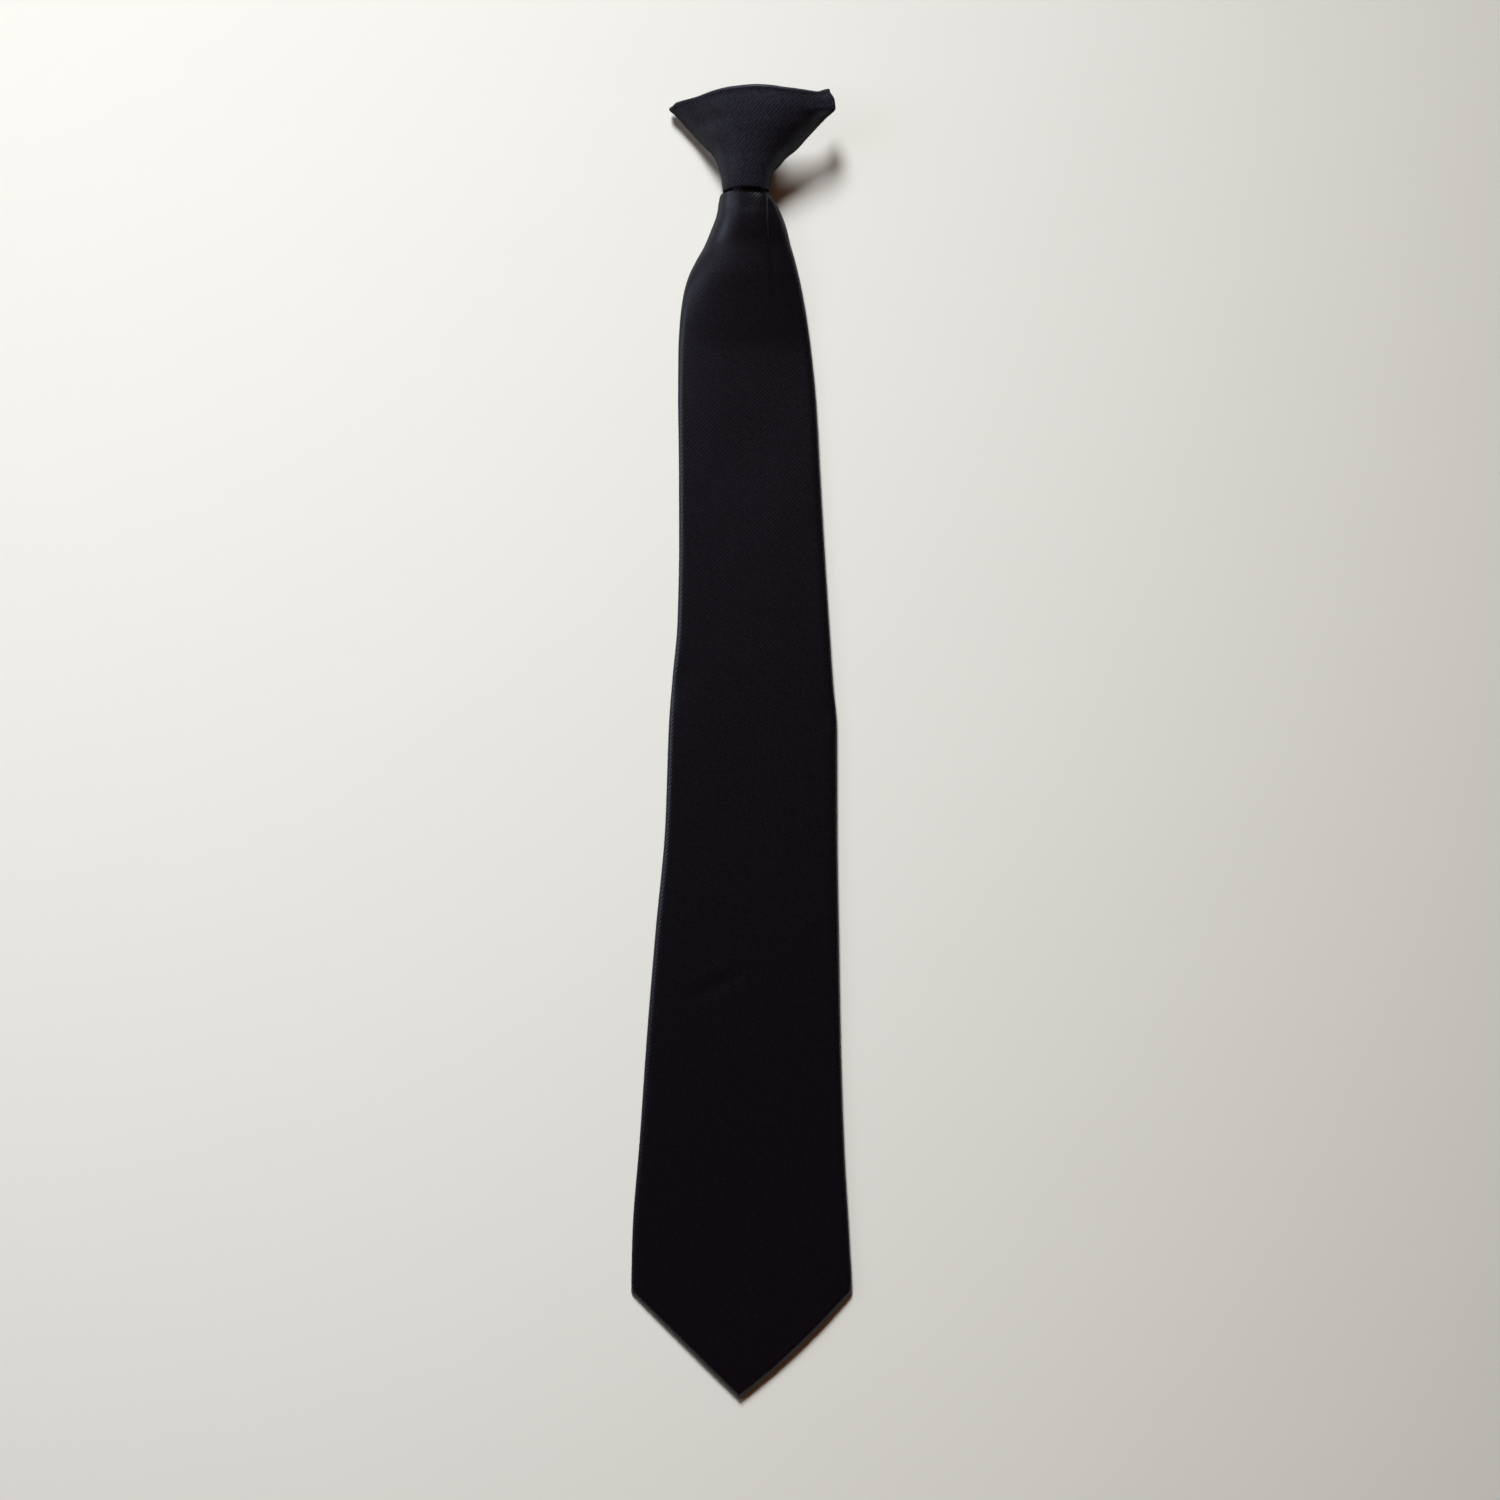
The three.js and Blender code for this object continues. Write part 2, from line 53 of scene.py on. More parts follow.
# A broad soft window beyond the head of the tie, a little to its left and about 40 degrees up,
# gives nearly all the light and the knot's soft shadow. Its blind narrows the beam, so that the
# paper's right and near sides are dimmer. The left wall gives a faint light, and the room is warm.
LIGHTS = [
    {
        "name": "window",
        "place": (-0.53, 2.37, 1.86),
        "aim": (-0.22, 0.12, 0),
        "size": (0.8, 0.9),
        "spread": 42,
        "watts": 8,
        "colour": (0.99, 1, 0.99),
    },
    {
        "name": "left_wall",
        "place": (-1.3, 0.3, 0.82),
        "aim": (0, 0.1, 0),
        "size": (0.8, 0.7),
        "spread": 180,
        "watts": 3.4,
        "colour": (0.86, 0.94, 1),
    },
]
for row in LIGHTS:
    light = bpy.data.objects.new(row["name"], bpy.data.lights.new(row["name"], "AREA"))
    light.data.shape = "RECTANGLE"
    light.data.size, light.data.size_y = row["size"]
    light.data.spread = math.radians(row["spread"])
    light.data.energy = row["watts"]
    light.data.color = row["colour"]
    light.location = row["place"]
    light.rotation_mode = "QUATERNION"
    light.rotation_quaternion = (Vector(row["aim"]) - light.location).to_track_quat("-Z", "Y")
    bpy.context.collection.objects.link(light)


def linear(hex_colour):
    """The linear colour of an sRGB hex value such as 1a1b20."""
    shares = [int(hex_colour[i : i + 2], 16) / 255 for i in (0, 2, 4)]
    return [s / 12.92 if s <= 0.04045 else ((s + 0.055) / 1.055) ** 2.4 for s in shares] + [1.0]


def add_node(owner, kind, settings, links):
    """Adds a node to a material or the world.

    settings gives its properties and sockets their values, links its sockets their sources.
    """
    node = owner.node_tree.nodes.new(kind)
    for name, value in settings.items():
        if isinstance(name, int) or name in node.inputs:
            node.inputs[name].default_value = value
        else:
            setattr(node, name, value)
    for name, source in links.items():
        owner.node_tree.links.new(source, node.inputs[name])
    return node


# The room gives a faint warm light, and behind the paper stands a plain pale backdrop.
room = bpy.data.worlds.new("room")
room.use_nodes = True
room.node_tree.nodes.clear()
glow = add_node(room, "ShaderNodeBackground", {"Color": (1.0, 0.44, 0.22, 1), "Strength": 0.06}, {})
backdrop = add_node(room, "ShaderNodeBackground", {"Color": linear("dddbd6")}, {})
seen = add_node(room, "ShaderNodeLightPath", {}, {}).outputs["Is Camera Ray"]
sight = add_node(
    room,
    "ShaderNodeMixShader",
    {},
    {0: seen, 1: glow.outputs["Background"], 2: backdrop.outputs["Background"]},
)
add_node(room, "ShaderNodeOutputWorld", {}, {"Surface": sight.outputs["Shader"]})
bpy.context.scene.world = room
bpy.context.scene.view_settings.view_transform = "Standard"

# The tie lies on a sheet of white drawing paper. It is plain, a little warm, and has the
# faint tooth and cockle of paper that has lain about.
PAPER_SIDE_MM = 1600
PAPER_BELOW_MM = 0.05


def new_material(name):
    """A material that holds only its output."""
    material = bpy.data.materials.new(name)
    material.use_nodes = True
    material.node_tree.nodes.clear()
    material.node_tree.nodes.new("ShaderNodeOutputMaterial")
    return material


def add_surface(material, settings, links):
    """Adds the shader that the output shows."""
    shader = add_node(material, "ShaderNodeBsdfPrincipled", settings, links)
    output = material.node_tree.nodes["Material Output"]
    material.node_tree.links.new(shader.outputs["BSDF"], output.inputs["Surface"])


def drawing_paper():
    """Drawing paper: matt and off-white, with fibre tooth about 0.5 mm across and a slow cockle."""
    material = new_material("Drawing paper")
    place = add_node(material, "ShaderNodeTexCoord", {}, {}).outputs["Object"]
    tooth = add_node(material, "ShaderNodeTexNoise", {"Scale": 2000.0, "Detail": 2.0}, {"Vector": place})
    cockle = add_node(material, "ShaderNodeTexNoise", {"Scale": 9.0, "Detail": 3.0}, {"Vector": place})
    slow = add_node(
        material,
        "ShaderNodeBump",
        {"Strength": 0.35, "Distance": 0.001},
        {"Height": cockle.outputs["Fac"]},
    )
    fine = add_node(
        material,
        "ShaderNodeBump",
        {"Strength": 0.25, "Distance": 0.00005},
        {"Height": tooth.outputs["Fac"], "Normal": slow.outputs["Normal"]},
    )
    add_surface(
        material,
        {"Base Color": linear("eeeeea"), "Roughness": 0.9, "Specular IOR Level": 0.2},
        {"Normal": fine.outputs["Normal"]},
    )
    return material


def finish_piece(name, mesh, material):
    """Turns a bmesh in millimetres into an object in metres, at the origin and unscaled."""
    bmesh.ops.scale(mesh, vec=(0.001, 0.001, 0.001), verts=mesh.verts)
    data = bpy.data.meshes.new(name)
    mesh.to_mesh(data)
    mesh.free()
    data.materials.append(material)
    piece = bpy.data.objects.new(name, data)
    bpy.context.collection.objects.link(piece)
    return piece


paper_mesh = bmesh.new()
bmesh.ops.create_grid(paper_mesh, x_segments=1, y_segments=1, size=PAPER_SIDE_MM / 2)
bmesh.ops.translate(paper_mesh, vec=(0, 0, -PAPER_BELOW_MM), verts=paper_mesh.verts)
paper = finish_piece("paper", paper_mesh, drawing_paper())

# The blade: a length of black polyester twill, cut on the bias and folded round a woven
# interlining. Its two flaps meet at the back in a seam and part above the point, where the
# cloth is hemmed. Its upper end is gathered and goes up into the knot. Sizes in mm.
TIE_LENGTH = 500
KNOT_PLACE = Vector((1.7, TIE_LENGTH / 2, 6.9))
CORNER_Y = -209.2
POINT_X = -1
POINT_DEPTH = TIE_LENGTH / 2 + CORNER_Y
POINT_BULGE = 2
POINT_BEND_Y = -130
POINT_STRAIGHT_Y = CORNER_Y + 14
NECK_TOP_Y = 220.5
FOLD_ROUND = 3.2
NECK_END_ROUND = 1.2
NECK_FOLD_RISE = 0.5
NECK_FOLD_SPAN = (205, 212.5)
EDGE_THINNING = 0.14
FLAP_THICK = 0.8
FLAP_ROUND = 0.5
SEAM_HALF_GAP = 0.18
SEAM_OPENS_Y = -112
SEAM_OPEN_HALF_WIDTH = 31
HEM_WIDTH = 9
HEM_THICK = 0.4
HEM_ROUND = 0.3
PLEAT_X = 10.1
PLEAT_ROLL = 0.9
PLEAT_LIMIT = 0.6
PLEAT_ENDS_Y = 160
PLEAT_RUNS_OUT_Y = 100
LINE_LEAST = 0.02

# The gathers under the knot are 3.3 mm apart, and run out about 15 mm below it. The padding
# has slow waves, with ripples on them.
GATHER_HEIGHT = 0.05
GATHER_TURN = 1.9
GATHERS_FROM_Y = 213
GATHERS_FADE = 9
WAVES = {"height": 0.2, "across": 26, "along": 48, "pattern": 2.7}
RIPPLES = {"height": 0.05, "across": 9, "along": 14, "pattern": 7.1}


def blade_section(along, left, right, curl=12, bow=0, foot=0, thick=4, roll=0):
    """One row of the blade's table. The values left out are those of its flat length.

    along is the place on Y; left and right are the outline on X. curl is how far round each half
    of the cloth bends backwards, in degrees, and bow how far its edges lie below its crown. foot
    is the height of its lowest point, and roll its twist in degrees.
    """
    section = {"along": along, "left": left, "right": right, "curl": curl}
    return section | {"bow": bow, "foot": foot, "thick": thick, "roll": roll}


BLADE_SECTIONS = [
    blade_section(220.5, -5.1, 8.7, curl=150, bow=5.5, foot=4.2, thick=2.4, roll=12),
    blade_section(213.3, -5.2, 8.6, curl=150, bow=5.7, foot=3.3, thick=2.4, roll=12),
    blade_section(212.8, -7.9, 10.3, curl=148, bow=7.05, foot=1.5, thick=2.6, roll=12),
    blade_section(211.4, -8.5, 11.6, curl=144, bow=7.8, foot=0.5, thick=2.7, roll=12),
    blade_section(206, -9.4, 15, curl=120, bow=7.75, thick=3.2, roll=9),
    blade_section(200, -11.7, 17.4, curl=98, bow=7.2, thick=3.5, roll=6.5),
    blade_section(193.5, -14.5, 19, curl=78, bow=6.1, thick=3.8, roll=5),
    blade_section(188.5, -17.4, 20.5, curl=64, bow=5.4, thick=3.9, roll=4),
    blade_section(182, -20.5, 22.1, curl=52, bow=4.7, roll=3),
    blade_section(175, -22.4, 23.6, curl=42, bow=3.9, roll=2),
    blade_section(165, -23.7, 25.3, curl=31, bow=2.8, roll=1),
    blade_section(153, -24.3, 26.9, curl=22, bow=1.6),
    blade_section(134, -24.4, 28.7, curl=15, bow=0.6),
    blade_section(112, -24.1, 29.9),
    blade_section(80, -24, 31.7),
    blade_section(50, -24.6, 33.6),
    blade_section(26, -26.7, 35.2),
    blade_section(10, -27.9, 36.6),
    blade_section(-30, -29.4, 36.7),
    blade_section(-70, -33.1, 37.3),
    blade_section(-110, -36.4, 38),
    blade_section(-150, -39.2, 39.3),
    blade_section(-187, -42, 41.4),
    blade_section(CORNER_Y, -42.4, 42.4),
]

# How far the layer tucked under beside the neck lies below the pleat's fold.
PLEAT_DEPTHS = [
    {"along": 213, "depth": 0},
    {"along": 211.4, "depth": 0.7},
    {"along": 206, "depth": 1.1},
    {"along": 200, "depth": 1},
    {"along": 193.5, "depth": 0.7},
    {"along": 188.5, "depth": 0.4},
    {"along": 180, "depth": 0.15},
    {"along": PLEAT_ENDS_Y, "depth": 0},
]

# Soft dents and crests that the cloth has from lying folded. turn is the angle of the long
# way from +X, in degrees, and height is up from the cloth.
DENTS = [
    {"x": -9, "y": -90, "length": 9, "width": 2.2, "turn": 25, "height": -0.35},
    {"x": -11, "y": -86, "length": 10, "width": 2.6, "turn": 25, "height": 0.2},
    {"x": 33, "y": 14, "length": 7, "width": 3, "turn": -60, "height": -0.3},
    {"x": -25, "y": 24, "length": 8, "width": 3.5, "turn": 70, "height": -0.25},
    {"x": 2, "y": 176, "length": 16, "width": 6, "turn": 88, "height": -0.35},
]


def lerp(a, b, share):
    return a + (b - a) * share


def clamp(value, low, high):
    return min(max(value, low), high)


def smooth_step(low, high, value):
    share = clamp((value - low) / (high - low), 0, 1)
    return share * share * (3 - 2 * share)


def hump(value, peak, width):
    """1 at the peak, falling softly to nothing over about twice the width."""
    return math.exp(-(((value - peak) / width) ** 2))


def sample(table, column, place):
    """One column of a table at a place between its rows, on a smooth curve that never overshoots."""
    rows = table if table[0]["along"] < table[-1]["along"] else table[::-1]
    place = clamp(place, rows[0]["along"], rows[-1]["along"])
    after = max(1, next(i for i, row in enumerate(rows) if row["along"] >= place))
    low, high = rows[after - 1], rows[after]

    def slope(i):
        return (rows[i + 1][column] - rows[i][column]) / (rows[i + 1]["along"] - rows[i]["along"])

    def tangent(i):
        if i in (0, len(rows) - 1) or slope(i - 1) * slope(i) <= 0:
            return 0
        return 2 * slope(i - 1) * slope(i) / (slope(i - 1) + slope(i))

    span = high["along"] - low["along"]
    t = (place - low["along"]) / span
    return (
        (2 * t**3 - 3 * t**2 + 1) * low[column]
        + (t**3 - 2 * t**2 + t) * span * tangent(after - 1)
        + (3 * t**2 - 2 * t**3) * high[column]
        + (t**3 - t**2) * span * tangent(after)
    )


def section_at(table, place):
    """The strip of cloth at a place: an arc of an ellipse whose crown faces forwards."""
    section = {"roll": 0} | {column: sample(table, column, place) for column in table[0]}
    curl = math.radians(section["curl"])
    widest = math.sin(min(curl, math.pi / 2))
    across = (section["right"] - section["left"]) / 2 / widest - section["thick"] / 2
    deep = section["bow"] / (1 - math.cos(curl))
    steps = 8
    halves = [curl * (n + 0.5) / steps for n in range(steps)]
    reach = sum(math.hypot(across * math.cos(a), deep * math.sin(a)) for a in halves) * curl / steps
    middle = (section["left"] + section["right"]) / 2
    return section | {"curl": curl, "across": across, "deep": deep, "reach": reach, "middle": middle}


def cloth_point(section, share, out):
    """A point on the arc at a share of its half-width, then out along the cloth's normal."""
    angle = share * section["curl"]
    across, deep = section["across"], section["deep"]
    normal = Vector((deep * math.sin(angle), across * math.cos(angle))).normalized()
    x = across * math.sin(angle) + out * normal.x
    z = deep * (math.cos(angle) - 1) + out * normal.y + section["bow"] / 2
    roll = math.radians(section["roll"])
    return Vector((x * math.cos(roll) - z * math.sin(roll), x * math.sin(roll) + z * math.cos(roll)))


def fold_round(distance, radius):
    """The share of the full thickness at a distance in from a folded edge."""
    return math.sqrt(1 - (1 - clamp(distance / radius, 0, 1)) ** 2)


def sleeve_columns(half):
    """A whole turn of mesh columns, from shares of the half-width that run from middle to fold.

    It starts at the back's middle and goes round the left fold, the front and the right fold.
    """
    left_back = [("back", -share) for share in half[:-1]]
    left_front = [("front", -share) for share in reversed(half)]
    right_front = [("front", share) for share in half[1:]]
    right_back = [("back", share) for share in reversed(half[1:-1])]
    return left_back + left_front + right_front + right_back


# Points nearer than this, such as those of a flat end that closes, become one.
SAME_POINT = 0.002


def sleeve(columns, stations, row_points):
    """A closed sleeve of cloth with a UV map in millimetres of cloth.

    A plain tube gets one side for each column and one ring of vertices for each station, and
    its vertices move to what row_points gives for a station. Its flat ends close.
    """
    tube = bmesh.new()
    count, last = len(columns), len(stations) - 1
    bmesh.ops.create_cone(tube, segments=count, radius1=1, radius2=1, depth=1)
    uprights = [edge for edge in tube.edges if abs(edge.verts[0].co.z - edge.verts[1].co.z) > 0.5]
    bmesh.ops.subdivide_edges(tube, edges=uprights, cuts=last - 1)
    rows = [row_points(station) for station in stations]
    cloth = [lengths_round(row, columns) for row in rows]
    place = {}
    for vertex in tube.verts:
        turn = math.atan2(-vertex.co.x, vertex.co.y) / math.tau
        place[vertex] = (round((vertex.co.z + 0.5) * last), round(turn * count) % count)
    uv = tube.loops.layers.uv.new("cloth_mm")
    for face in tube.faces:
        face.smooth = True
        at_start = {place[v][1] for v in face.verts} == {0, count - 1}
        for loop in face.loops:
            row, column = place[loop.vert]
            loop[uv].uv = (cloth[row][count if at_start and column == 0 else column], rows[row][column].y)
    for vertex, (row, column) in place.items():
        vertex.co = rows[row][column]
    bmesh.ops.remove_doubles(tube, verts=tube.verts, dist=SAME_POINT)
    bmesh.ops.recalc_face_normals(tube, faces=tube.faces)
    return tube


def lengths_round(row, columns):
    """Millimetres of cloth round a row of points, from the front's middle line."""
    reach = [0.0]
    for here, there in zip(row, row[1:] + row[:1]):
        reach.append(reach[-1] + math.hypot(there.x - here.x, there.z - here.z))
    middle = columns.index(("front", 0))
    return [r - reach[middle] + row[middle].x for r in reach]


def spaced(start, stop, step):
    """Places from start towards stop, about a step apart, without stop itself."""
    count = max(1, round(abs(stop - start) / step))
    return [lerp(start, stop, i / count) for i in range(count)]


# Mesh columns, as shares of the half-width: close together at the seam (0), at LINE_SHARE,
# which follows the pleat or the flaps' edges, and round the fold (1).
LINE_SHARE = 0.5
SEAM_SHARES = [0, 0.004, 0.009, 0.016, 0.03]
LINE_OFFSETS = [-0.05, -0.02, -0.007, 0, 0.002, 0.005, 0.01, 0.02, 0.045]
FOLD_FROM_SHARE = 0.57
FOLD_COLUMNS = 22
half_shares = SEAM_SHARES + spaced(0.06, 0.45, 0.035)
half_shares += [LINE_SHARE + offset for offset in LINE_OFFSETS]
for n in range(FOLD_COLUMNS + 1):
    half_shares.append(1 - (1 - FOLD_FROM_SHARE) * (1 - math.sin(n / FOLD_COLUMNS * math.pi / 2)))
blade_columns = sleeve_columns(half_shares)

# Mesh rows, close together where the blade comes out of the knot, at the hem and round the point.
NECK_SHOWS_Y = 213.5
NECK_OPENS_Y = 211.2
hem_station = CORNER_Y + HEM_WIDTH * math.hypot(1, POINT_DEPTH / BLADE_SECTIONS[-1]["right"])
point_round = 1.4 * FOLD_ROUND
blade_stations = (
    [NECK_TOP_Y - NECK_END_ROUND * (1 - math.cos(n * math.pi / 10)) for n in range(5)]
    + spaced(NECK_TOP_Y - NECK_END_ROUND, NECK_SHOWS_Y, 1)
    + spaced(NECK_SHOWS_Y, NECK_OPENS_Y, 0.15)
    + spaced(NECK_OPENS_Y, PLEAT_ENDS_Y, 0.8)
    + spaced(PLEAT_ENDS_Y, POINT_BEND_Y, 2)
    + spaced(POINT_BEND_Y, POINT_STRAIGHT_Y, 1.3)
    + spaced(POINT_STRAIGHT_Y, hem_station - 1, 0.2)
    + spaced(hem_station - 1, CORNER_Y + point_round, 0.9)
    + [CORNER_Y + point_round * (1 - math.sin(n * math.pi / 24)) for n in range(13)]
)


def flap_edge_at(station):
    """How far from the back's middle each flap's edge lies."""
    opening = clamp((SEAM_OPENS_Y - station) / (SEAM_OPENS_Y - CORNER_Y), 0, 1)
    return lerp(SEAM_HALF_GAP, SEAM_OPEN_HALF_WIDTH, opening)


def line_at(station, section):
    """The share at which the columns' line runs: down the pleat, then out along the flaps' edges.

    Between the two it crosses over slowly, and never comes nearer the seam than LINE_LEAST.
    """
    flap = max(flap_edge_at(station) / section["reach"], LINE_LEAST)
    aside = clamp((PLEAT_X - section["middle"]) / (section["across"] + section["thick"] / 2), 0, 1)
    pleat = min(math.asin(aside) / section["curl"], PLEAT_LIMIT)
    return lerp(flap, pleat, smooth_step(SEAM_OPENS_Y, PLEAT_RUNS_OUT_Y, station))


def follow_line(share, line):
    """Moves a column's share so that the columns at LINE_SHARE run along the line."""
    away = abs(share)
    if away <= LINE_SHARE:
        moved = away * line / LINE_SHARE
    else:
        moved = 1 - (1 - away) * (1 - line) / (1 - LINE_SHARE)
    return math.copysign(moved, share)


def wavy(waves, x, y):
    """The height of uneven waves. across and along are their lengths, in the units of x and y."""
    return waves["height"] * noise.noise(Vector((x / waves["across"], y / waves["along"], waves["pattern"])))


def front_relief(x, y):
    """The padded front's slow waves and dents, and the fine gathers under the knot."""
    gathers = GATHER_HEIGHT * math.cos((x - KNOT_PLACE.x) * GATHER_TURN)
    gathers *= hump(y, GATHERS_FROM_Y, GATHERS_FADE)
    return wavy(WAVES, x, y) + wavy(RIPPLES, x, y) + gathers + sum(dent_height(dent, x, y) for dent in DENTS)


def dent_height(dent, x, y):
    turn = math.radians(dent["turn"])
    aside, up = x - dent["x"], y - dent["y"]
    along = (aside * math.cos(turn) + up * math.sin(turn)) / dent["length"]
    beside = (up * math.cos(turn) - aside * math.sin(turn)) / dent["width"]
    return dent["height"] * math.exp(-(along**2) - beside**2)


def blade_row(station):
    """The blade's points at one station, in the order of blade_columns."""
    section = section_at(BLADE_SECTIONS, station)
    half_width = (section["right"] - section["left"]) / 2
    line = line_at(station, section)
    bend = clamp((POINT_BEND_Y - station) / (POINT_BEND_Y - POINT_STRAIGHT_Y), 0, 1)
    shift = bend * (POINT_X - section["middle"]) / half_width
    from_point = (station - CORNER_Y) / math.hypot(1, POINT_DEPTH / half_width)
    ends = min(fold_round(from_point, FOLD_ROUND), fold_round(NECK_TOP_Y - station, NECK_END_ROUND))
    depth = sample(PLEAT_DEPTHS, "depth", station)
    points = []
    for side, share in blade_columns:
        share = follow_line(share, line)
        from_middle = abs(share) * section["reach"]
        full = min(ends, fold_round((1 - abs(share)) * section["reach"], FOLD_ROUND))
        place = share + shift * (1 - share**2)
        if side == "front":
            past = (share - line) * section["reach"]
            tuck = (1 - fold_round(PLEAT_ROLL - past, PLEAT_ROLL)) * (1 - share) / (1 - line)
            out = section["thick"] * (0.5 - EDGE_THINNING * abs(share) ** 3) - depth * tuck
            out += front_relief(section["middle"] + place * half_width, station)
        else:
            recess = FLAP_THICK * (1 - fold_round(from_middle - flap_edge_at(station), FLAP_ROUND))
            hem = fold_round(HEM_WIDTH - from_point, HEM_ROUND)
            out = min(recess, FLAP_THICK - HEM_THICK * hem) - section["thick"] / 2
        points.append(cloth_point(section, place, out * full))
    foot = section["foot"] - min(p.y for p in points)

    def y_at(x):
        corner = section["left"] if x < POINT_X else section["right"]
        aside = abs((x - POINT_X) / (corner - POINT_X))
        bulge = POINT_BULGE * 4 * aside * (1 - aside) if x > POINT_X else 0
        lift = NECK_FOLD_RISE * smooth_step(*NECK_FOLD_SPAN, station)
        lift *= 1 - ((x - section["middle"]) / half_width) ** 2
        return station - bend * (POINT_DEPTH * (1 - aside) + bulge) + lift

    return [Vector((x, y_at(x), z + foot)) for x, z in fitted(points, section)]


def fitted(points, section):
    """The points of a section, stretched to meet its left and right outline."""
    left, right = min(p.x for p in points), max(p.x for p in points)
    stretch = (section["right"] - section["left"]) / (right - left)
    return [(section["left"] + (p.x - left) * stretch, p.y) for p in points]


# Seen from low down, the loose fibres that stand on the cloth hide its gloss, and each fleck is
# a little duller or glossier than the cloth round it.
GLANCING_ROUGHNESS = 0.8
FLECK_ROUGHNESS = 0.025

# The bands of a Wave Texture of scale 1 lie this far apart.
BAND_SPACING = math.tau / 20


def bias_twill(name, deep_shade, light_fleck_shade, gloss, roughness):
    """Polyester twill on the bias: close ribs aslant, dull black with painted shade between them, and a weak
    cool sheen.

    The real ribs are about 0.4 mm apart. They are drawn 1.1 mm apart so that they show, with
    threads across them at half of that, and slubs and flecks where a yarn is thicker.
    """
    rib, thread = 1.1, 0.55
    material = new_material(name)
    cloth = add_node(material, "ShaderNodeUVMap", {"uv_map": "cloth_mm"}, {}).outputs["UV"]
    wander = add_node(material, "ShaderNodeTexNoise", {"Scale": 0.12, "Detail": 2.0}, {"Vector": cloth})
    bent = add_node(
        material,
        "ShaderNodeVectorMath",
        {"operation": "MULTIPLY_ADD", 1: (0.5, 0.5, 0)},
        {0: wander.outputs["Color"], 2: cloth},
    ).outputs["Vector"]
    ribs = add_node(
        material,
        "ShaderNodeTexWave",
        {"bands_direction": "X", "Scale": BAND_SPACING / rib},
        {"Vector": turned(material, bent, 45)},
    )
    threads = add_node(
        material,
        "ShaderNodeTexWave",
        {"bands_direction": "X", "Scale": BAND_SPACING / thread},
        {"Vector": turned(material, bent, -45)},
    )
    weave = add_node(
        material,
        "ShaderNodeMath",
        {"operation": "MULTIPLY_ADD", 1: 0.4},
        {0: threads.outputs["Fac"], 2: ribs.outputs["Fac"]},
    )
    slubs = add_node(
        material,
        "ShaderNodeMapping",
        {"Scale": (1.3, 0.6, 1)},
        {"Vector": turned(material, bent, 45)},
    )
    yarn = add_node(
        material,
        "ShaderNodeTexNoise",
        {"Scale": 1.0, "Detail": 2.0},
        {"Vector": slubs.outputs["Vector"]},
    )
    height = add_node(
        material,
        "ShaderNodeMath",
        {"operation": "MULTIPLY_ADD", 1: 0.8},
        {0: yarn.outputs["Fac"], 2: weave.outputs["Value"]},
    )
    bump = add_node(
        material,
        "ShaderNodeBump",
        {"Strength": 0.5, "Distance": 0.00006},
        {"Height": height.outputs["Value"]},
    )
    flecks = add_node(
        material,
        "ShaderNodeMapRange",
        {"From Min": 0.25, "From Max": 0.75},
        {"Value": yarn.outputs["Fac"]},
    )
    shade = add_node(
        material,
        "ShaderNodeMix",
        {"data_type": "RGBA", 6: linear(deep_shade), 7: linear(light_fleck_shade)},
        {0: flecks.outputs["Result"]},
    )
    # The grooves between the ribs are painted darker, 050407. This is painted shade.
    groove_shaded = add_node(
        material,
        "ShaderNodeMix",
        {"data_type": "RGBA", 7: linear("050407")},
        {0: rib_groove_shade_mask(material, weave.outputs["Value"]), 6: shade.outputs[2]},
    )
    rough = add_node(
        material,
        "ShaderNodeMapRange",
        {"To Min": roughness - FLECK_ROUGHNESS, "To Max": roughness + FLECK_ROUGHNESS},
        {"Value": flecks.outputs["Result"]},
    )
    glance = add_node(material, "ShaderNodeLayerWeight", {"Blend": 0.5}, {})
    fuzzy = add_node(
        material,
        "ShaderNodeMapRange",
        {"From Min": 0.15, "From Max": 0.8, "To Max": GLANCING_ROUGHNESS},
        {"Value": glance.outputs["Facing"], "To Min": rough.outputs["Result"]},
    )
    add_surface(
        material,
        {
            "IOR": 1.5,
            "Specular IOR Level": gloss,
            "Specular Tint": linear("dadcee"),
            "Sheen Weight": 0.04,
            "Sheen Roughness": 0.4,
            "Sheen Tint": linear("a8b0dc"),
        },
        {
            "Base Color": groove_shaded.outputs[2],
            "Roughness": fuzzy.outputs["Result"],
            "Normal": bump.outputs["Normal"],
        },
    )
    return material


def turned(material, vector, degrees):
    """The pattern's place, turned on the cloth."""
    settings = {"Rotation": (0, 0, math.radians(degrees))}
    return add_node(material, "ShaderNodeMapping", settings, {"Vector": vector}).outputs["Vector"]


def rib_groove_shade_mask(material, height):
    """Where shade is painted in: 1 down between the ribs and 0 on their tops."""
    settings = {"From Min": 0.1, "From Max": 0.7, "To Min": 0.7, "To Max": 0.0}
    return add_node(material, "ShaderNodeMapRange", settings, {"Value": height}).outputs["Result"]


BLADE_CLOTH = {
    "name": "Black polyester twill",
    "deep_shade": "030308",
    "light_fleck_shade": "0b0b15",
    "gloss": 0.7,
    "roughness": 0.28,
}

blade_mesh = sleeve(blade_columns, blade_stations, blade_row)
blade_sleeve = finish_piece("blade_sleeve", blade_mesh, bias_twill(**BLADE_CLOTH))
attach(blade_sleeve, "root")
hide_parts("blade")

